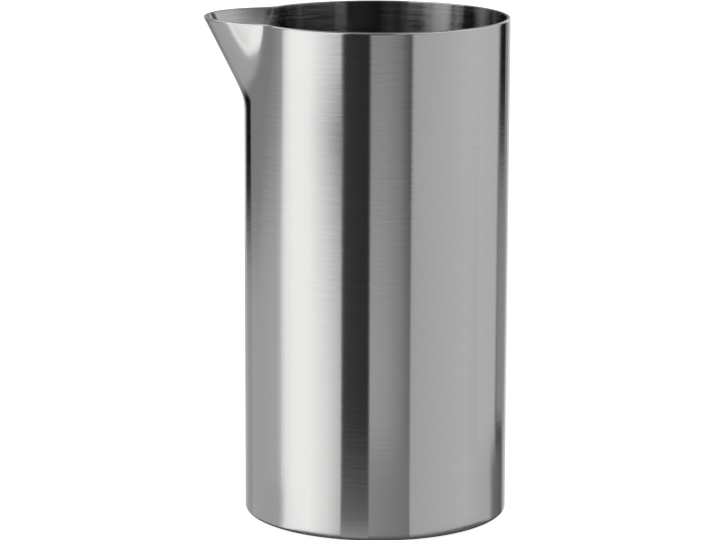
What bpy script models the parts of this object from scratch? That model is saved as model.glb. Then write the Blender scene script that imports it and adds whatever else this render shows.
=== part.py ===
"""Small milk jug in brushed steel.

A straight tube stands on a flat base plate, and a round-nosed pouring spout is let into a notch in
the tube's rim. The three pieces are welded together and ground flush, so they meet at narrow gaps
with their outer and inner faces in line.

Metres, +Z up. The origin is on the tube's axis, on the surface that the jug stands on. The spout
points along -X.
"""

import math

import bmesh
import bpy
from mathutils import Vector

# Driving dimensions of the jug and its tube
BODY_DIAMETER = 0.055
BODY_HEIGHT = 0.1042
WALL_THICKNESS = 0.0008

# Driving dimensions of the spout
SPOUT_REACH = 0.0083  # the lip's distance out from the tube
SPOUT_DEPTH = 0.0168  # from the rim down to where the straight nose would meet the tube
SPOUT_RADIUS = 0.0143  # of the round nose seen from above, the same at every height
RIM_FLARE = 0.0040  # depth of the flare that leads the tube's wall out into the spout, at the rim
FOOT_FLARE = 0.0020  # depth of the same flare at the spout's foot
ROOT_WIDTH = 0.0045  # of the strip of wall round the spout's root, as far as the seam
SIDE_DRAW = 0.00033  # how far that strip is drawn in at the rim, running out towards the foot
SPOUT_FOOT_WIDTH = 0.003  # of the short straight edge at the spout's lowest end

# Driving dimensions of the base plate
FLANGE_THICKNESS = 0.0012  # of the edge that the tube stands on
SPIGOT_HEIGHT = 0.0008  # of the step that centres the tube
LOWER_EDGE_RADIUS = 0.0007

# Clearance at each welded joint
WELD_GAP = 0.0003

# Facets
SIDES = 96  # around the tube and the base plate
NOTCH_STEPS = 16  # down each side of the notch, and rows down the spout
NOSE_STEPS = 18  # from the spout's middle to each side
EDGE_STEPS = 4  # round each rounded edge
SHARP_ANGLE = math.radians(35)  # between faces that meet at a hard edge

# Small amounts: the step that slopes are measured over, and how near corners are joined
SLOPE_STEP = 1e-6
JOIN_DISTANCE = 1e-6

# Sizes that follow from the ones above
BODY_RADIUS = BODY_DIAMETER / 2
RIM_EDGE_RADIUS = WALL_THICKNESS / 2
TUBE_LENGTH = BODY_HEIGHT - FLANGE_THICKNESS - WELD_GAP
SPIGOT_RADIUS = BODY_RADIUS - WALL_THICKNESS - WELD_GAP
NOSE_SLOPE = SPOUT_REACH / (SPOUT_DEPTH - RIM_EDGE_RADIUS)
LOWER_EDGE = min(LOWER_EDGE_RADIUS, FLANGE_THICKNESS)
HALF_GAP = WELD_GAP / 2
SIDE_ANGLE = 2 * math.pi / SIDES

# Finish of each piece: colour and roughness
TUBE_FINISH = ((0.60, 0.60, 0.60), 0.30)
SPOUT_FINISH = ((0.62, 0.62, 0.62), 0.28)
BASE_FINISH = ((0.56, 0.56, 0.56), 0.35)


def nose_centre(drop):
    """Distance from the tube's axis to the centre of the round nose, at a drop below the rim."""
    reach = SPOUT_REACH - NOSE_SLOPE * (drop - RIM_EDGE_RADIUS)
    return BODY_RADIUS + reach - SPOUT_RADIUS


def nose_radius(angle, drop):
    """Distance from the tube's axis to the round nose, at an angle from the pouring direction."""
    centre = nose_centre(drop)
    along = SPOUT_RADIUS**2 - (centre * math.sin(angle)) ** 2
    return centre * math.cos(angle) + math.sqrt(max(0.0, along))


def wall_radius(angle, drop):
    """Distance from the tube's axis to its wall, which is drawn in a little beside the spout."""
    centre = nose_centre(drop)
    from_centre = BODY_RADIUS**2 + centre**2 - 2 * BODY_RADIUS * centre * math.cos(angle)
    aside = (math.sqrt(from_centre) - SPOUT_RADIUS) / ROOT_WIDTH
    across = max(0.0, 1 - (2 * aside - 1) ** 2)
    depth = max(0.0, 1 - drop / SPOUT_DEPTH)
    return BODY_RADIUS - SIDE_DRAW * depth * across**2


def root_flare(drop):
    """Depth of the flare between the wall and the spout, at a drop below the rim."""
    share = min(1.0, drop / SPOUT_DEPTH)
    return RIM_FLARE + (FOOT_FLARE - RIM_FLARE) * share**2


def outer_radius(angle, drop):
    """Distance from the tube's axis to the spout's outer face, with its root flared into the wall."""
    nose = nose_radius(angle, drop)
    wall = wall_radius(angle, drop)
    flare = root_flare(drop)
    nearness = max(0.0, 1 - abs(nose - wall) / flare)
    return max(nose, wall) + flare / 6 * nearness**3


def seam_angle(drop):
    """Angle from the pouring direction to the seam, where the tube is plain again."""
    centre = nose_centre(drop)
    aside = SPOUT_RADIUS + ROOT_WIDTH
    return math.acos((BODY_RADIUS**2 + centre**2 - aside**2) / (2 * centre * BODY_RADIUS))


def seam_drop(angle):
    """Drop below the rim at which the seam passes an angle from the pouring direction."""
    aside = SPOUT_RADIUS + ROOT_WIDTH
    across = BODY_RADIUS * math.sin(angle)
    centre = BODY_RADIUS * math.cos(angle) - math.sqrt(aside**2 - across**2)
    return (nose_centre(0) - centre) / NOSE_SLOPE


def seam_points(start):
    """Angle and drop of points down one side of the seam, closer together where it turns round."""
    foot = seam_drop(0)
    first = math.sqrt(1 - start / foot)
    last = math.sqrt(1 - seam_drop(SPOUT_FOOT_WIDTH / BODY_DIAMETER) / foot)
    shares = [first + (last - first) * step / NOTCH_STEPS for step in range(NOTCH_STEPS + 1)]
    drops = [foot * (1 - share**2) for share in shares]
    return [(seam_angle(drop), drop) for drop in drops]


def around(radius, angle, height):
    """Point at a radius, an angle from the pouring direction and a height."""
    return Vector((-radius * math.cos(angle), -radius * math.sin(angle), height))


def edge_arc(outer, inner, crown):
    """Points over the top of a wall, from its outer to its inner point, rising by the crown."""
    middle = (outer + inner) / 2
    half = (outer - inner) / 2
    turns = [math.pi * step / EDGE_STEPS for step in range(1, EDGE_STEPS)]
    return [middle + half * math.cos(turn) + Vector((0, 0, crown * math.sin(turn))) for turn in turns]


def bridge(mesh, left, right):
    """Faces between two closed loops of corners."""
    count = len(left)
    for here in range(count):
        after = (here + 1) % count
        mesh.faces.new((left[here], left[after], right[after], right[here]))


def close_end(mesh, loop):
    """Faces across an end loop whose outer and inner sides have as many corners."""
    far = len(loop) - 1
    for here in range(len(loop) // 2 - 1):
        mesh.faces.new((loop[here], loop[here + 1], loop[far - here - 1], loop[far - here]))
    if len(loop) % 2:
        middle = len(loop) // 2
        mesh.faces.new((loop[middle - 1], loop[middle], loop[middle + 1]))


def steel(name, finish):
    """Plain brushed steel of one colour and roughness."""
    colour, roughness = finish
    material = bpy.data.materials.new(name)
    material.use_nodes = True
    shader = material.node_tree.nodes["Principled BSDF"]
    shader.inputs["Base Color"].default_value = (*colour, 1)
    shader.inputs["Metallic"].default_value = 1
    shader.inputs["Roughness"].default_value = roughness
    return material


def add_piece(name, mesh, height, finish, parent):
    """Object of one closed mesh, standing at a height on the jug's axis."""
    bmesh.ops.recalc_face_normals(mesh, faces=mesh.faces)
    data = bpy.data.meshes.new(name)
    mesh.to_mesh(data)
    mesh.free()
    data.shade_smooth()
    data.set_sharp_from_angle(angle=SHARP_ANGLE)
    data.materials.append(steel(name + "_steel", finish))
    piece = bpy.data.objects.new(name, data)
    piece.location.z = height
    piece.parent = parent
    bpy.context.collection.objects.link(piece)


def tube_column(mesh, angle, drop, crown):
    """Loop of corners up the tube's outer face, over its top edge and down its inner face."""
    bore = BODY_RADIUS - WALL_THICKNESS
    top = TUBE_LENGTH - drop - crown
    outer = around(BODY_RADIUS, angle, top)
    inner = around(bore, angle, top)
    loop = [around(BODY_RADIUS, angle, 0), outer]
    loop += edge_arc(outer, inner, crown)
    loop += [inner, around(bore, angle, 0)]
    return [mesh.verts.new(point) for point in loop]


def make_tube(parent):
    """Tube with a rounded rim and a notch for the spout, standing on its lower end."""
    notch = [
        (angle + HALF_GAP / BODY_RADIUS, drop + HALF_GAP, 0)
        for angle, drop in reversed(seam_points(-HALF_GAP))
    ]
    corner = notch.pop()[0]
    rim_steps = round((math.pi - corner) / SIDE_ANGLE)
    rim = [
        (corner + (math.pi - corner) * step / rim_steps, 0, RIM_EDGE_RADIUS)
        for step in range(rim_steps + 1)
    ]
    half = notch + rim
    other_half = [(-angle, drop, crown) for angle, drop, crown in reversed(half[:-1])]

    mesh = bmesh.new()
    columns = [tube_column(mesh, *column) for column in half + other_half]
    for left, right in zip(columns, columns[1:] + columns[:1]):
        bridge(mesh, left, right)
    add_piece("body_tube", mesh, FLANGE_THICKNESS + WELD_GAP, TUBE_FINISH, parent)


def spout_corners(angle, drop):
    """Outer and inner point of the spout's wall, measured down from the rim."""
    radius = outer_radius(angle, drop)
    turn = (outer_radius(angle + SLOPE_STEP, drop) - radius) / SLOPE_STEP
    lean = (outer_radius(angle, drop + SLOPE_STEP) - radius) / SLOPE_STEP
    out = around(1, angle, 0) - around(turn / radius, angle + math.pi / 2, 0)
    thickness = WALL_THICKNESS * math.sqrt(1 + (lean / out.length) ** 2)
    outer = around(radius, angle, -drop)
    return outer, outer - out.normalized() * thickness


def spout_column(mesh, share, edge):
    """Loop of corners up the spout's outer face, over its lip and down its inner face."""
    pairs = [spout_corners(share * angle, drop) for angle, drop in reversed(edge)]
    outer = [pair[0] for pair in pairs]
    inner = [pair[1] for pair in pairs]
    loop = outer + edge_arc(outer[-1], inner[-1], RIM_EDGE_RADIUS) + inner[::-1]
    return [mesh.verts.new(point) for point in loop]


def make_spout(parent):
    """Spout with a round nose, a flared root and a rounded lip, hung from the rim's height."""
    edge = [
        (angle - HALF_GAP / BODY_RADIUS, drop - HALF_GAP)
        for angle, drop in seam_points(RIM_EDGE_RADIUS + HALF_GAP)
    ]
    steps = [step / NOSE_STEPS for step in range(-NOSE_STEPS, NOSE_STEPS + 1)]
    shares = [(step + math.sin(step * math.pi / 2)) / 2 for step in steps]

    mesh = bmesh.new()
    columns = [spout_column(mesh, share, edge) for share in shares]
    for left, right in zip(columns, columns[1:]):
        bridge(mesh, left, right)
    close_end(mesh, columns[0])
    close_end(mesh, columns[-1])
    add_piece("spout", mesh, BODY_HEIGHT, SPOUT_FINISH, parent)


def make_base(parent):
    """Turned disc with a shoulder for the tube, a step that centres it and a rounded lower edge."""
    turns = [math.pi / 2 * step / EDGE_STEPS for step in range(EDGE_STEPS + 1)]
    corner = BODY_RADIUS - LOWER_EDGE
    profile = [(0, 0)]
    profile += [
        (corner + LOWER_EDGE * math.sin(turn), LOWER_EDGE * (1 - math.cos(turn)))
        for turn in turns
    ]
    profile += [
        (BODY_RADIUS, FLANGE_THICKNESS),
        (SPIGOT_RADIUS, FLANGE_THICKNESS),
        (SPIGOT_RADIUS, FLANGE_THICKNESS + SPIGOT_HEIGHT),
        (0, FLANGE_THICKNESS + SPIGOT_HEIGHT),
    ]

    mesh = bmesh.new()
    corners = [mesh.verts.new((radius, 0, height)) for radius, height in profile]
    edges = [mesh.edges.new(pair) for pair in zip(corners, corners[1:])]
    bmesh.ops.spin(
        mesh,
        geom=corners + edges,
        cent=(0, 0, 0),
        axis=(0, 0, 1),
        angle=2 * math.pi,
        steps=SIDES,
    )
    bmesh.ops.remove_doubles(mesh, verts=mesh.verts, dist=JOIN_DISTANCE)
    add_piece("base_plate", mesh, 0, BASE_FINISH, parent)


def main():
    for old in list(bpy.data.objects):
        bpy.data.objects.remove(old, do_unlink=True)
    jug = bpy.data.objects.new("milk_jug", None)
    bpy.context.collection.objects.link(jug)
    make_tube(jug)
    make_spout(jug)
    make_base(jug)


main()
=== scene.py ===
"""Looks of the small brushed-steel milk jug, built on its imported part.

Metres, +Z up, in the part's own frame: the jug stands on the origin and its spout points along -X.
Angles round the jug are measured from the pouring direction towards the front, which is -Y.
"""

import math

import bmesh
import bpy
from mathutils import Matrix, Vector


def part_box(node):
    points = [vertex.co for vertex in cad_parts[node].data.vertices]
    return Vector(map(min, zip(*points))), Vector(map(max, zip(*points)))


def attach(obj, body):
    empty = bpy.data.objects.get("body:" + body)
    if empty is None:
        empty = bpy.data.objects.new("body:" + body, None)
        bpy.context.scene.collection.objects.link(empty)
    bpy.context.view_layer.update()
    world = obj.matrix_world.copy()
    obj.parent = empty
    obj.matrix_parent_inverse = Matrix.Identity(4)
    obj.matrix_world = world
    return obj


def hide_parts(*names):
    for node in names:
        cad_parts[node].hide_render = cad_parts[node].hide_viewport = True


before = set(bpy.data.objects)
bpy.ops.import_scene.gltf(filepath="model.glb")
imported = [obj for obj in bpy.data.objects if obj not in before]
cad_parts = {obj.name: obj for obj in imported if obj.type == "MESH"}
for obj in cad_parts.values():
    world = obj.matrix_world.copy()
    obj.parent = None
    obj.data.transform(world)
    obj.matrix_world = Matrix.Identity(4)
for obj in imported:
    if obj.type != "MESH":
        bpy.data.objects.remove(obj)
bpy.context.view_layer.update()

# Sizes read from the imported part
TUBE_LOW, TUBE_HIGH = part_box("body_tube")
SPOUT_LOW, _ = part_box("spout")
BASE_LOW, BASE_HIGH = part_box("base_plate")
BODY_RADIUS = TUBE_HIGH.x
RIM_HEIGHT = TUBE_HIGH.z
SPOUT_REACH = -SPOUT_LOW.x - BODY_RADIUS

# Sizes of the part that its box doesn't give
WALL_THICKNESS = 0.0008
SPOUT_DEPTH = 0.0168  # from the rim down to where the straight nose would meet the tube
SPOUT_RADIUS = 0.0143  # of the round nose seen from above
RIM_FLARE = 0.0040  # depth of the flare that leads the wall out into the spout, at the rim
FOOT_FLARE = 0.0020  # depth of the same flare at the spout's foot
ROOT_WIDTH = 0.0045  # of the strip of wall round the spout's root, as far as the seam
SIDE_DRAW = 0.00033  # how far that strip is drawn in at the rim
SPOUT_FOOT_WIDTH = 0.0006  # of the spout's lowest end
LOWER_EDGE_RADIUS = 0.0007
FLOOR_FILLET = 0.0020  # between the inner floor and the wall
OUTER_EDGE_POWER = 2  # of the rim's curve outside, which is round
INNER_EDGE_POWER = 8  # of the rim's curve inside, which is crisper

# Facets
SIDES = 288  # round the tube and the base
SEAM_STEPS = 56  # down each side of the seam, and rows down the spout
NOSE_STEPS = 64  # from the spout's middle to each side
EDGE_STEPS = 12  # round each rounded edge
SHARP_ANGLE = math.radians(35)  # between faces that meet at a hard edge
SLOPE_STEP = 1e-6  # that slopes are measured over
JOIN_DISTANCE = 1e-6  # within which corners are joined
UP = Vector((0, 0, 1))

# Sizes that follow from the ones above
RIM_EDGE_RADIUS = WALL_THICKNESS / 2
NOSE_SLOPE = SPOUT_REACH / (SPOUT_DEPTH - RIM_EDGE_RADIUS)
BORE_RADIUS = BODY_RADIUS - WALL_THICKNESS


def nose_centre(drop):
    """Distance from the tube's axis to the centre of the round nose, at a drop below the rim."""
    reach = SPOUT_REACH - NOSE_SLOPE * (drop - RIM_EDGE_RADIUS)
    return BODY_RADIUS + reach - SPOUT_RADIUS


def nose_radius(angle, drop):
    """Distance from the tube's axis to the round nose, at an angle from the pouring direction."""
    centre = nose_centre(drop)
    along = SPOUT_RADIUS**2 - (centre * math.sin(angle)) ** 2
    return centre * math.cos(angle) + math.sqrt(max(0.0, along))


def wall_radius(angle, drop):
    """Distance from the tube's axis to its wall, which is drawn in a little beside the spout."""
    centre = nose_centre(drop)
    from_centre = BODY_RADIUS**2 + centre**2 - 2 * BODY_RADIUS * centre * math.cos(angle)
    aside = (math.sqrt(from_centre) - SPOUT_RADIUS) / ROOT_WIDTH
    across = max(0.0, 1 - (2 * aside - 1) ** 2)
    depth = max(0.0, 1 - drop / SPOUT_DEPTH)
    return BODY_RADIUS - SIDE_DRAW * depth * across**2


def root_flare(drop):
    """Depth of the flare between the wall and the spout, at a drop below the rim."""
    share = min(1.0, drop / SPOUT_DEPTH)
    return RIM_FLARE + (FOOT_FLARE - RIM_FLARE) * share**2


def outer_radius(angle, drop):
    """Distance from the tube's axis to the spout's outer face, with its root flared into the wall."""
    nose = nose_radius(angle, drop)
    wall = wall_radius(angle, drop)
    flare = root_flare(drop)
    nearness = max(0.0, 1 - abs(nose - wall) / flare)
    cubic_blend = flare / 6 * nearness**3  # which leaves no edge between the nose and the wall
    return max(nose, wall) + cubic_blend


def seam_angle(drop):
    """Angle from the pouring direction to the spout's seam, which rises straight from its widest."""
    aside = SPOUT_RADIUS + ROOT_WIDTH
    centre = min(nose_centre(drop), math.sqrt(BODY_RADIUS**2 - aside**2))
    return math.acos((BODY_RADIUS**2 + centre**2 - aside**2) / (2 * centre * BODY_RADIUS))


def seam_drop(angle):
    """Drop below the rim at which the seam passes an angle from the pouring direction."""
    aside = SPOUT_RADIUS + ROOT_WIDTH
    across = BODY_RADIUS * math.sin(angle)
    centre = BODY_RADIUS * math.cos(angle) - math.sqrt(aside**2 - across**2)
    return (nose_centre(0) - centre) / NOSE_SLOPE


def seam_points():
    """Angle and drop of points down one side of the seam, closer together where it turns round."""
    foot = seam_drop(0)
    first = math.sqrt(1 - RIM_EDGE_RADIUS / foot)
    last = math.sqrt(1 - seam_drop(SPOUT_FOOT_WIDTH / BODY_RADIUS / 2) / foot)
    shares = [first + (last - first) * step / SEAM_STEPS for step in range(SEAM_STEPS + 1)]
    drops = [foot * (1 - share**2) for share in shares]
    return [(seam_angle(drop), drop) for drop in drops]


def around(radius, angle, height):
    """Point at a radius, an angle from the pouring direction and a height."""
    return Vector((-radius * math.cos(angle), -radius * math.sin(angle), height))


def edge_arc(outer, inner, crown):
    """Corners over the top of a wall, each a point and its normal, rising by the crown."""
    middle = (outer + inner) / 2
    half = (outer - inner) / 2
    arc = []
    for step in range(1, EDGE_STEPS):
        turn = math.pi * step / EDGE_STEPS
        power = OUTER_EDGE_POWER if step < EDGE_STEPS / 2 else INNER_EDGE_POWER
        across = math.copysign(abs(math.cos(turn)) ** (2 / power), math.cos(turn))
        rise = math.sin(turn) ** (2 / power)
        lean = math.copysign(abs(across) ** (power - 1), across) * crown
        normal = half.normalized() * lean + UP * rise ** (power - 1) * half.length
        arc.append((middle + half * across + UP * crown * rise, normal.normalized()))
    return arc


def bridge(left, right, size):
    """Faces between two closed loops of corners, given by the number of each loop's first corner."""
    steps = [(here, (here + 1) % size) for here in range(size)]
    return [(left + here, left + after, right + after, right + here) for here, after in steps]


def close_end(first, size):
    """Faces across an end loop whose outer and inner sides have as many corners."""
    far = first + size - 1
    pairs = range(size // 2 - 1)
    faces = [(first + n, first + n + 1, far - n - 1, far - n) for n in pairs]
    if size % 2:
        middle = first + size // 2
        faces.append((middle - 1, middle, middle + 1))
    return faces


def skin(name, columns, closed):
    """Closed mesh over columns of corners, which run round in a ring or end in two flat ends."""
    size = len(columns[0])
    starts = [size * number for number in range(len(columns))]
    neighbours = list(zip(starts, starts[1:]))
    if closed:
        neighbours.append((starts[-1], starts[0]))
    faces = [face for left, right in neighbours for face in bridge(left, right, size)]
    if not closed:
        faces += close_end(starts[0], size) + close_end(starts[-1], size)
    corners = [corner for column in columns for corner in column]

    data = bpy.data.meshes.new(name)
    data.from_pydata([point for point, normal in corners], [], faces)
    outward(data)
    data.shade_smooth()
    data.normals_split_custom_set_from_vertices([normal for point, normal in corners])
    return data


def outward(data):
    """Turns every face of a closed mesh outwards."""
    mesh = bmesh.new()
    mesh.from_mesh(data)
    bmesh.ops.recalc_face_normals(mesh, faces=mesh.faces)
    mesh.to_mesh(data)
    mesh.free()


def add_piece(name, data, material, node):
    """Piece of the jug that stands for one node of the part."""
    data.materials.append(material)
    piece = bpy.data.objects.new(name, data)
    bpy.context.collection.objects.link(piece)
    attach(piece, "root")
    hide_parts(node)


def tube_column(angle, drop, crown):
    """Corners up the tube's outer face, over its top edge and down its inner face."""
    out = around(1, angle, 0)
    top = RIM_HEIGHT - drop - crown
    outer = around(BODY_RADIUS, angle, top)
    inner = around(BORE_RADIUS, angle, top)
    column = [(around(BODY_RADIUS, angle, TUBE_LOW.z), out), (outer, out)]
    column += edge_arc(outer, inner, crown)
    column += [(inner, -out), (around(BORE_RADIUS, angle, TUBE_LOW.z), -out)]
    return column


def tube_mesh():
    """Tube with a rounded rim and a notch that the spout fills."""
    corner = seam_angle(0)
    notch = [(angle, drop, 0) for angle, drop in reversed(seam_points()) if angle < corner]
    rim_steps = round((math.pi - corner) / (2 * math.pi) * SIDES)
    rim = [
        (corner + (math.pi - corner) * step / rim_steps, 0, RIM_EDGE_RADIUS)
        for step in range(rim_steps + 1)
    ]
    half = notch + rim
    other_half = [(-angle, drop, crown) for angle, drop, crown in reversed(half[:-1])]
    return skin("jug_tube", [tube_column(*column) for column in half + other_half], True)


def spout_corners(angle, drop):
    """Outer and inner corner of the spout's wall, each a point and its normal."""
    radius = outer_radius(angle, drop)
    turn = (outer_radius(angle + SLOPE_STEP, drop) - radius) / SLOPE_STEP
    lean = (outer_radius(angle, drop + SLOPE_STEP) - radius) / SLOPE_STEP
    out = around(1, angle, 0) - around(turn / radius, angle + math.pi / 2, 0)
    normal = (out + UP * lean).normalized()
    thickness = WALL_THICKNESS * math.sqrt(1 + (lean / out.length) ** 2)
    outer = around(radius, angle, RIM_HEIGHT - drop)
    return (outer, normal), (outer - out.normalized() * thickness, -normal)


def spout_column(share, edge):
    """Corners up the spout's outer face, over its lip and down its inner face."""
    pairs = [spout_corners(share * angle, drop) for angle, drop in reversed(edge)]
    outer = [pair[0] for pair in pairs]
    inner = [pair[1] for pair in pairs]
    return outer + edge_arc(outer[-1][0], inner[-1][0], RIM_EDGE_RADIUS) + inner[::-1]


def spout_mesh():
    """Spout with a round nose, a flared root and a rounded lip. Its columns are closer at the sides."""
    edge = seam_points()
    steps = [step / NOSE_STEPS for step in range(-NOSE_STEPS, NOSE_STEPS + 1)]
    shares = [(step + math.sin(step * math.pi / 2)) / 2 for step in steps]
    return skin("jug_spout", [spout_column(share, edge) for share in shares], False)


def base_profile():
    """Radius and height of points over the base, from its underside to its inner floor."""
    turns = [math.pi / 2 * step / EDGE_STEPS for step in range(EDGE_STEPS + 1)]
    edge = LOWER_EDGE_RADIUS
    lower = [
        (BODY_RADIUS - edge + edge * math.sin(turn), BASE_LOW.z + edge - edge * math.cos(turn))
        for turn in turns
    ]
    fillet = [
        (
            BORE_RADIUS - FLOOR_FILLET + FLOOR_FILLET * math.cos(turn),
            BASE_HIGH.z + FLOOR_FILLET - FLOOR_FILLET * math.sin(turn),
        )
        for turn in turns
    ]
    shoulder = [(BODY_RADIUS, TUBE_LOW.z), (BORE_RADIUS, TUBE_LOW.z)]
    return [(0, BASE_LOW.z)] + lower + shoulder + fillet + [(0, BASE_HIGH.z)]


def base_mesh():
    """Turned base with a rounded lower edge and a fillet inside."""
    mesh = bmesh.new()
    corners = [mesh.verts.new((radius, 0, height)) for radius, height in base_profile()]
    edges = [mesh.edges.new(pair) for pair in zip(corners, corners[1:])]
    bmesh.ops.spin(
        mesh,
        geom=corners + edges,
        cent=(0, 0, 0),
        axis=UP,
        angle=2 * math.pi,
        steps=SIDES,
    )
    bmesh.ops.remove_doubles(mesh, verts=mesh.verts, dist=JOIN_DISTANCE)
    bmesh.ops.recalc_face_normals(mesh, faces=mesh.faces)
    data = bpy.data.meshes.new("jug_base")
    mesh.to_mesh(data)
    mesh.free()
    data.shade_smooth()
    data.set_sharp_from_angle(angle=SHARP_ANGLE)
    return data


# Brushed steel: one finish for all the pieces, so that the ground welds don't show
STEEL_DARK = (0.600, 0.598, 0.592, 1)
STEEL_LIGHT = (0.640, 0.638, 0.632, 1)
INSIDE_PAINTED_SHADE_DARK = (0.430, 0.428, 0.423, 1)  # of the faces that look inwards: a darker copy of the steel's colour, painted shade inside the jug
INSIDE_PAINTED_SHADE_LIGHT = (0.570, 0.568, 0.563, 1)
ROUGHNESS_LOW = 0.10
ROUGHNESS_HIGH = 0.145
INSIDE_ROUGHNESS_LOW = 0.05
INSIDE_ROUGHNESS_HIGH = 0.20
ANISOTROPY = 1.0
QUARTER_TURN = 0.25  # the blur runs across the brush lines
LINES_PER_METRE = 2000
LINE_TURNS = 130  # changes along a brush line, in each metre
LINE_DETAIL = 3  # finer layers of lines in the noise
LEVEL_PART = (1, 1, 0)  # what is left of a place without its height
BUMP_DEPTH = 0.00005
BUMP_STRENGTH = 0.35
INSIDE_BUMP_STRENGTH = 0.04


class Nodes:
    """Short way to add nodes to a node tree and join them."""

    def __init__(self, tree):
        self.tree = tree
        tree.nodes.clear()

    def add(self, kind, inputs=None, **settings):
        """Node of a kind, with settings, and with inputs that are numbers or other nodes' outputs."""
        node = self.tree.nodes.new("ShaderNode" + kind)
        for name, value in settings.items():
            setattr(node, name, value)
        for name, value in (inputs or {}).items():
            if isinstance(value, bpy.types.NodeSocket):
                self.tree.links.new(value, node.inputs[name])
            else:
                node.inputs[name].default_value = value
        return node

    def math(self, operation, *values):
        """Output of a sum or other operation on numbers."""
        node = self.add("Math", dict(enumerate(values)), operation=operation)
        return node.outputs[0]

    def vector(self, operation, *values):
        """Output of an operation on vectors."""
        node = self.add("VectorMath", dict(enumerate(values)), operation=operation)
        return node.outputs[0]

    # A mix node has sockets of the same name for numbers and colours, so they go by their places.

    def blend(self, share, low, high):
        """Number between two others, at a share of the way."""
        return self.add("Mix", {0: share, 2: low, 3: high}).outputs[0]

    def tint(self, share, low, high):
        """Colour between two others, at a share of the way."""
        return self.add("Mix", {0: share, 6: low, 7: high}, data_type="RGBA").outputs[2]


def brushed_steel(name, turned):
    """Steel brushed in level lines, or in rings as well where a face is turned, with painted shade
    darkening the faces that look inwards.
    """
    material = bpy.data.materials.new(name)
    material.use_nodes = True
    nodes = Nodes(material.node_tree)
    coordinates = nodes.add("TexCoord").outputs
    place = coordinates["Object"]
    parts = nodes.add("SeparateXYZ", {0: place}).outputs
    level = nodes.vector("MULTIPLY", place, LEVEL_PART)
    across = parts["Z"]
    if turned:
        outwards = nodes.add("VectorMath", {0: level}, operation="LENGTH").outputs["Value"]
        across = nodes.math("ADD", across, outwards)
    lines = nodes.add(
        "CombineXYZ",
        {
            "X": nodes.math("MULTIPLY", parts["X"], LINE_TURNS),
            "Y": nodes.math("MULTIPLY", parts["Y"], LINE_TURNS),
            "Z": nodes.math("MULTIPLY", across, LINES_PER_METRE),
        },
    ).outputs[0]
    fine = nodes.add("TexNoise", {"Vector": lines, "Scale": 1, "Detail": LINE_DETAIL}).outputs[0]
    if turned:
        inside = nodes.math("GREATER_THAN", parts["Z"], TUBE_LOW.z)
    else:
        ways = {0: coordinates["Normal"], 1: level}
        outward_share = nodes.add("VectorMath", ways, operation="DOT_PRODUCT").outputs["Value"]
        inside = nodes.math("LESS_THAN", outward_share, 0)
    bright = nodes.tint(fine, STEEL_DARK, STEEL_LIGHT)
    # Painted shade: the faces that look inwards take a darker copy of the steel's colour
    painted_shade = nodes.tint(fine, INSIDE_PAINTED_SHADE_DARK, INSIDE_PAINTED_SHADE_LIGHT)
    rough = nodes.blend(fine, ROUGHNESS_LOW, ROUGHNESS_HIGH)
    rough_inside = nodes.blend(fine, INSIDE_ROUGHNESS_LOW, INSIDE_ROUGHNESS_HIGH)
    strength = nodes.blend(inside, BUMP_STRENGTH, INSIDE_BUMP_STRENGTH)
    bump = nodes.add("Bump", {"Strength": strength, "Distance": BUMP_DEPTH, "Height": fine})
    along = nodes.vector("CROSS_PRODUCT", UP, place)
    shader = nodes.add(
        "BsdfPrincipled",
        {
            "Base Color": nodes.tint(inside, bright, painted_shade),
            "Metallic": 1,
            "Roughness": nodes.blend(inside, rough, rough_inside),
            "Anisotropic": ANISOTROPY,
            "Anisotropic Rotation": QUARTER_TURN,
            "Tangent": nodes.vector("NORMALIZE", along),
            "Normal": bump.outputs[0],
        },
    )
    nodes.add("OutputMaterial", {"Surface": shader.outputs[0]})
    return material


add_piece("jug_tube", tube_mesh(), brushed_steel("tube_steel", False), "body_tube")
add_piece("jug_spout", spout_mesh(), brushed_steel("spout_steel", False), "spout")
add_piece("jug_base", base_mesh(), brushed_steel("base_steel", True), "base_plate")


# Camera, fitted to the photograph's rim, sides and base
CAMERA_DISTANCE = 23.5532 * BODY_RADIUS  # from the jug's axis
CAMERA_HEIGHT = 6.7051 * BODY_RADIUS
CAMERA_TURN = math.radians(2)  # round the jug, from its front
CAMERA_YAW = -0.00585
CAMERA_PITCH = math.radians(11.6507)
CAMERA_ROLL = math.radians(0.174)
LENS = 159.03  # millimetres, as the sensor's width
SENSOR = 36.0


def add_camera():
    """Camera at the photograph's viewing angle."""
    level = math.cos(CAMERA_PITCH)
    ahead = Vector(
        (math.sin(CAMERA_YAW) * level, math.cos(CAMERA_YAW) * level, -math.sin(CAMERA_PITCH))
    )
    right = Vector((math.cos(CAMERA_YAW), -math.sin(CAMERA_YAW), 0))
    axes = Matrix((right, right.cross(ahead), -ahead)).transposed().to_4x4()
    axes = axes @ Matrix.Rotation(CAMERA_ROLL, 4, "Z")
    axes.translation = Vector((0, -CAMERA_DISTANCE, CAMERA_HEIGHT))
    data = bpy.data.cameras.new("camera")
    data.lens = LENS
    data.sensor_width = SENSOR
    data.sensor_fit = "HORIZONTAL"
    camera = bpy.data.objects.new("camera", data)
    camera.matrix_world = Matrix.Rotation(CAMERA_TURN, 4, "Z") @ axes
    bpy.context.collection.objects.link(camera)
    bpy.context.scene.camera = camera


add_camera()

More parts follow.
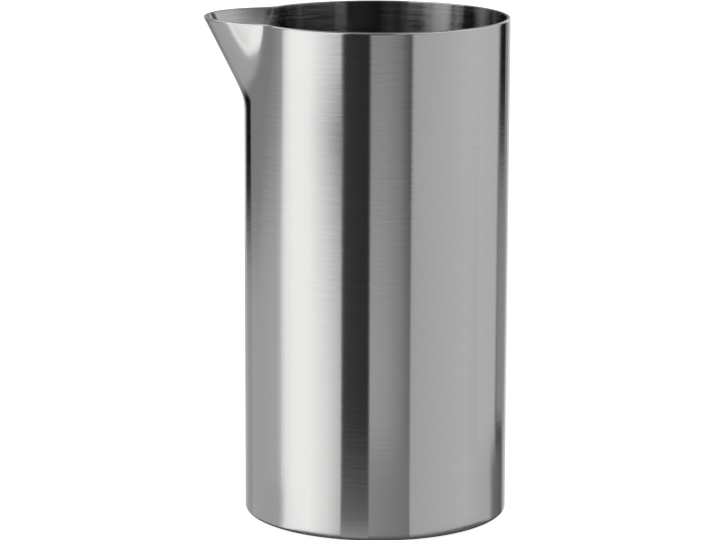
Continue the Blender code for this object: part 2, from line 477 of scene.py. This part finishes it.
# Studio: rows of panels round the jug, each from one azimuth to another with its light at both.
# Azimuths are in degrees from the camera, positive to the right. A light of 1 is white.
FLOOR_PANELS = (
    ("backdrop left", -180, -165, 0.92, 0.50),
    ("pale floor left", -155, -114, 0.45, 0.53),
    ("lit floor edge", -102, -91, 0.62, 0.90),
    ("lit floor", -85, -52, 0.98, 1.15),
    ("lit floor end", -45, -30, 0.98, 0.66),
    ("dark floor", -29, -6, 0.15, 0.15),
    ("grey floor", -4.5, 29.6, 0.40, 0.25),
    ("pale floor right", 31, 127, 0.52, 0.60),
    ("backdrop right", 165, 180, 0.50, 0.92),
)
LOW_PANELS = (
    ("backdrop left", -180, -168, 1.08, 1.00),
    ("backdrop end", -161, -156, 0.58, 0.20),
    ("black flag left", -153.0, -141.2, 0.0, 0.0),
    ("grey wall", -139.5, -112, 0.285, 0.29),
    ("grey wall near", -98, -89.4, 0.32, 0.42),
    ("softbox edge", -87.2, -79, 1.00, 1.31),
    ("softbox", -70, -60, 1.35, 1.30),
    ("softbox end", -45, -30.5, 0.82, 0.32),
    ("dark room", -29.2, -6.2, 0.05, 0.03),
    ("grey card", -4.3, 8, 0.43, 0.42),
    ("grey card end", 20, 30.5, 0.32, 0.08),
    ("pale wall", 31.2, 60, 0.61, 0.63),
    ("pale wall far", 90, 128, 0.69, 0.62),
    ("black flag right", 134.0, 146, 0.0, 0.0),
    ("backdrop edge", 147.2, 155, 0.30, 0.29),
    ("backdrop right", 157, 180, 0.60, 1.05),
)
HIGH_PANELS = (
    ("backdrop left", -180, -161, 0.28, 0.55),
    ("grey wall", -152, -88, 0.30, 0.33),
    ("softbox", -83, -31, 1.22, 1.30),
    ("dark room", -27, 28, 0.02, 0.02),
    ("pale wall", 33, 64, 0.22, 0.50),
    ("pale wall far", 87, 130, 0.72, 0.84),
    ("black flag right", 137, 144, 0.10, 0.10),
    ("backdrop right", 155, 168, 0.90, 0.90),
    ("backdrop middle", 176, 180, 0.28, 0.28),
)
TOP_PANELS = (
    ("backdrop left", -180, -172, 0.15, 0.20),
    ("wall left", -160, -120, 0.85, 0.95),
    ("softbox", -88, -31, 1.20, 1.10),
    ("dark room", -26, 12, 0.22, 0.25),
    ("high softbox", 24, 60, 1.10, 1.30),
    ("pale wall", 85, 127, 1.10, 0.95),
    ("backdrop right", 140, 180, 0.20, 0.15),
)
BRIGHTEST = 1.4  # light at the top of the ramps' scale
CEILING = 0.30
WHITE = (1, 1, 1, 1)
FULL_TURN = 360  # degrees
CAMERA_PLACE = 0.5  # of the camera's azimuth on the ramps, which run from 0 to 1 round the jug

# Heights of a direction between which each row gives way to the next one up, and last the ceiling
FLOOR_EDGE = (-0.44, -0.31)
HORIZON = (-0.10, 0.01)
TOP_EDGE = (0.46, 0.54)
CEILING_EDGE = (0.72, 0.84)


def panel_ramp(nodes, azimuth, panels):
    """Light of a row of panels at an azimuth's place on the ramps."""
    node = nodes.add("ValToRGB", {"Fac": azimuth})
    ramp = node.color_ramp
    stops = [(side, light) for _, *ends in panels for side, light in zip(ends[:2], ends[2:])]
    while len(ramp.elements) < len(stops):
        ramp.elements.new(1)
    for element, (side, light) in zip(ramp.elements, stops):
        share = light / BRIGHTEST
        element.position = side / FULL_TURN + CAMERA_PLACE
        element.color = (share, share, share, 1)
    return node.outputs["Color"]


def over(nodes, height, edge, below, above):
    """Colour of one row below an edge and of the next row above it."""
    ends = {"From Min": edge[0], "From Max": edge[1]}
    share = nodes.add("MapRange", {"Value": height, **ends}, interpolation_type="SMOOTHSTEP")
    return nodes.tint(share.outputs[0], below, above)


def light_studio():
    """World that shows the panels to the jug and white to the camera."""
    world = bpy.data.worlds.new("studio")
    world.use_nodes = True
    bpy.context.scene.world = world
    nodes = Nodes(world.node_tree)
    way = nodes.add("TexCoord").outputs["Generated"]
    parts = nodes.add("SeparateXYZ", {0: way}).outputs
    turn = nodes.math("ARCTAN2", parts["X"], nodes.math("MULTIPLY", parts["Y"], -1))
    turn = nodes.math("SUBTRACT", turn, CAMERA_TURN)
    azimuth = nodes.math("ADD", nodes.math("DIVIDE", turn, 2 * math.pi), CAMERA_PLACE)
    azimuth = nodes.math("FRACT", azimuth)
    room = panel_ramp(nodes, azimuth, FLOOR_PANELS)
    rows = [(FLOOR_EDGE, LOW_PANELS), (HORIZON, HIGH_PANELS), (TOP_EDGE, TOP_PANELS)]
    for edge, panels in rows:
        room = over(nodes, parts["Z"], edge, room, panel_ramp(nodes, azimuth, panels))
    ceiling = (CEILING / BRIGHTEST,) * 3 + (1,)
    room = over(nodes, parts["Z"], CEILING_EDGE, room, ceiling)
    studio = nodes.add("Background", {"Color": room, "Strength": BRIGHTEST}).outputs[0]
    white = nodes.add("Background", {"Color": WHITE, "Strength": 1}).outputs[0]
    seen = nodes.add("LightPath").outputs["Is Camera Ray"]
    shown = nodes.add("MixShader", {0: seen, 1: studio, 2: white}).outputs[0]
    nodes.add("OutputWorld", {"Surface": shown})


light_studio()

# Floor: white to the camera, with the jug's shadow. The foot is a dark sheet that the jug mirrors, its
# colour painted shadow round where the jug meets the floor.
LIFT = 0.0002  # of the cards over the foot, and of the foot over the floor
FLOOR_HALF = 2.0
FLOOR_LEVEL = -2 * LIFT
FLOOR_GLOW = 0.90
FLOOR_COLOUR = (0.80, 0.80, 0.80, 1)
FOOT_REACH = 0.009  # out from the jug
FOOT_LEVEL = -LIFT
# painted shadow: the dark colour of the floor just round the jug's foot
FOOT_SHADOW_COLOUR = (0.30, 0.30, 0.30, 1)

# Cards round the jug, which only its sides mirror. Each has a fade and stops: an azimuth, the near
# and far distance along the mirrored way, and the light. The first cards lie over the next ones.
SIDE_GAP = 0.0012  # of the cards round the jug's foot, at its sides and back
FRONT_GAP = 0.003  # the same at its front
CARD_STEP = 4  # degrees
SHORT_FADE = 1.25  # a card fades from its far distance over this to its far distance times this
LONG_FADE = 3
CARDS = (
    (
        "back_left",
        SHORT_FADE,
        (
            (-178, SIDE_GAP, 0.30, 0.80),
            (-168, SIDE_GAP, 0.30, 0.60),
            (-152, SIDE_GAP, 0.30, 0.41),
            (-140.5, SIDE_GAP, 0.30, 0.42),
        ),
    ),
    (
        "left_near",
        SHORT_FADE,
        (
            (-140, SIDE_GAP, 0.035, 0.50),
            (-95, SIDE_GAP, 0.035, 0.51),
            (-91, SIDE_GAP, 0.035, 0.64),
            (-85, 0.0018, 0.035, 1.13),
            (-76, 0.0024, 0.035, 1.27),
            (-60, FRONT_GAP, 0.035, 1.32),
        ),
    ),
    (
        "left",
        SHORT_FADE,
        (
            (-140, FRONT_GAP, 0.28, 0.50),
            (-125, FRONT_GAP, 0.29, 0.51),
            (-98, FRONT_GAP, 0.44, 0.57),
            (-92.2, FRONT_GAP, 0.46, 0.73),
            (-90, FRONT_GAP, 0.46, 1.05),
            (-82, FRONT_GAP, 0.46, 1.33),
        ),
    ),
    (
        "front_left",
        SHORT_FADE,
        (
            (-62, FRONT_GAP, 0.33, 1.33),
            (-44, FRONT_GAP, 0.33, 1.05),
            (-30.1, FRONT_GAP, 0.33, 0.67),
        ),
    ),
    ("foot_near", LONG_FADE, ((-30.1, FRONT_GAP, 0.006, 0.40), (-5.6, FRONT_GAP, 0.006, 0.37))),
    ("foot", LONG_FADE, ((-30.1, FRONT_GAP, 0.03, 0.21), (-5.6, FRONT_GAP, 0.03, 0.18))),
    ("front_near", SHORT_FADE, ((-5.6, FRONT_GAP, 0.07, 0.36), (29.6, FRONT_GAP, 0.07, 0.26))),
    (
        "front",
        SHORT_FADE,
        (
            (-5.3, 0.07, 0.33, 0.52),
            (8, 0.07, 0.33, 0.47),
            (20, 0.07, 0.33, 0.35),
            (29.6, 0.07, 0.33, 0.20),
        ),
    ),
    (
        "right_near",
        SHORT_FADE,
        (
            (100, 0.0045, 0.06, 0.60),
            (119, FRONT_GAP, 0.06, 0.55),
            (127, FRONT_GAP, 0.06, 0.22),
            (149, SIDE_GAP, 0.07, 0.12),
            (151.5, SIDE_GAP, 0.07, 0.42),
            (178, SIDE_GAP, 0.07, 0.95),
        ),
    ),
    (
        "right",
        SHORT_FADE,
        (
            (29.9, FRONT_GAP, 0.42, 0.56),
            (60, 0.004, 0.42, 0.62),
            (84, 0.0045, 0.42, 0.66),
            (100, 0.0045, 0.42, 0.61),
        ),
    ),
    ("back_right", SHORT_FADE, ((132.8, 0.08, 0.45, 0.32), (155, 0.08, 0.45, 0.34))),
)

# Small flag that hangs in front of the jug, near its rim, to the left. Its rows have a height, a
# light, how far they cover what is behind at the right end, and the power by which the cover grows.
FLAG_DISTANCE = 0.03  # along the mirrored way
FLAG_SPAN = (-84, -30.2)  # azimuths of its ends
FLAG_ROWS = (
    (0.0600, 0.0, 0.0, 3),
    (0.0740, 0.0, 0.18, 3),
    (0.0810, 0.0, 0.46, 3),
    (0.0865, 0.8, 0.0, 1),
    (0.0930, 1.6, 0.19, 0.5),
    (0.1080, 1.6, 0.19, 0.5),
)


def floor_material():
    """Pale floor that glows up to white, seen from above only."""
    material = bpy.data.materials.new("floor")
    material.use_nodes = True
    nodes = Nodes(material.node_tree)
    paint = nodes.add("BsdfDiffuse", {"Color": FLOOR_COLOUR}).outputs[0]
    glow = nodes.add("Emission", {"Color": WHITE, "Strength": FLOOR_GLOW}).outputs[0]
    lit = nodes.add("AddShader", {0: paint, 1: glow}).outputs[0]
    clear = nodes.add("BsdfTransparent").outputs[0]
    below = nodes.add("NewGeometry").outputs["Backfacing"]
    shown = nodes.add("MixShader", {0: below, 1: lit, 2: clear}).outputs[0]
    nodes.add("OutputMaterial", {"Surface": shown})
    return material


def foot_shadow_material():
    """Dark sheet at the jug's foot: painted shadow, which is lit and shaded as well."""
    material = bpy.data.materials.new("foot")
    material.use_nodes = True
    nodes = Nodes(material.node_tree)
    paint = nodes.add("BsdfDiffuse", {"Color": FOOT_SHADOW_COLOUR}).outputs[0]
    nodes.add("OutputMaterial", {"Surface": paint})
    return material


def card_material():
    """Card that gives off the light written at its corners, as far as it covers what is behind."""
    material = bpy.data.materials.new("card")
    material.use_nodes = True
    nodes = Nodes(material.node_tree)
    light = nodes.add("Attribute", attribute_name="light").outputs["Fac"]
    cover = nodes.add("Attribute", attribute_name="cover").outputs["Fac"]
    glow = nodes.add("Emission", {"Color": WHITE, "Strength": light}).outputs[0]
    clear = nodes.add("BsdfTransparent").outputs[0]
    shown = nodes.add("MixShader", {0: cover, 1: clear, 2: glow}).outputs[0]
    nodes.add("OutputMaterial", {"Surface": shown})
    return material


def level_way(azimuth):
    """Level direction at an azimuth in degrees from the camera."""
    turn = math.radians(azimuth) + CAMERA_TURN
    return Vector((math.sin(turn), -math.cos(turn), 0))


def mirrored_point(azimuth, distance):
    """Point on the floor at a distance along the way that the jug's side mirrors to an azimuth."""
    return BODY_RADIUS * level_way(azimuth / 2) + distance * level_way(azimuth)


def add_sheet(name, corners, faces, material):
    """Flat sheet of the stage."""
    data = bpy.data.meshes.new(name)
    data.from_pydata(corners, [], faces)
    data.materials.append(material)
    sheet = bpy.data.objects.new(name, data)
    bpy.context.collection.objects.link(sheet)
    return sheet


def mirrored_only(sheet):
    """Keeps a sheet for the jug's reflections alone."""
    sheet.visible_camera = False
    sheet.visible_diffuse = False
    sheet.visible_shadow = False


def between(stops):
    """Stops of a card with as many added between them as its round edges need."""
    for start, end in zip(stops, stops[1:]):
        steps = math.ceil((end[0] - start[0]) / CARD_STEP)
        for step in range(steps):
            yield tuple(a + (b - a) * step / steps for a, b in zip(start, end))
    yield stops[-1]


def add_card(name, columns, material):
    """Card over columns of corners, each a point, its light and how far it covers what is behind."""
    size = len(columns[0])
    corners = [corner for column in columns for corner in column]
    faces = [
        (first + row, first + row + 1, first + row + size + 1, first + row + size)
        for first in range(0, len(corners) - size, size)
        for row in range(size - 1)
    ]
    card = add_sheet(name, [point for point, light, cover in corners], faces, material)
    for place, word in enumerate(("light", "cover"), start=1):
        attribute = card.data.attributes.new(word, "FLOAT", "POINT")
        attribute.data.foreach_set("value", [corner[place] for corner in corners])
    mirrored_only(card)
    return card


def lay_card(name, fade, stops, material):
    """Card on the floor between the near and far distances of its stops, with their light."""
    columns = []
    for azimuth, near, far, light in between(stops):
        rows = ((near, 1), (far / fade, 1), (far * fade, 0))
        column = [(mirrored_point(azimuth, distance), light, cover) for distance, cover in rows]
        columns.append(column)
    return add_card(name, columns, material)


def hang_flag(material):
    """Upright card that covers more and more towards its right end."""
    start, end = FLAG_SPAN
    steps = math.ceil((end - start) / CARD_STEP)
    columns = []
    for step in range(steps + 1):
        share = step / steps
        below = mirrored_point(start + (end - start) * share, FLAG_DISTANCE)
        column = [
            (below + UP * height, light, cover * share**power)
            for height, light, cover, power in FLAG_ROWS
        ]
        columns.append(column)
    add_card("card_flag", columns, material)


def lay_floor():
    """Floor for the camera, and its foot of painted shadow and the cards for the reflections."""
    square = [(-1, -1), (1, -1), (1, 1), (-1, 1)]
    corners = [(x * FLOOR_HALF, y * FLOOR_HALF, FLOOR_LEVEL) for x, y in square]
    floor = add_sheet("floor", corners, [(0, 1, 2, 3)], floor_material())
    floor.visible_glossy = False
    floor.visible_diffuse = False
    reach = BODY_RADIUS + FOOT_REACH
    azimuths = range(0, FULL_TURN, CARD_STEP)
    ring = [reach * level_way(azimuth) + UP * FOOT_LEVEL for azimuth in azimuths]
    mirrored_only(add_sheet("foot", ring, [tuple(range(len(ring)))], foot_shadow_material()))
    material = card_material()
    for number, (name, fade, stops) in enumerate(CARDS):
        card = lay_card("card_" + name, fade, stops, material)
        card.location.z = -LIFT * number / len(CARDS)
    hang_flag(material)


lay_floor()

bpy.context.scene.view_settings.view_transform = "Standard"
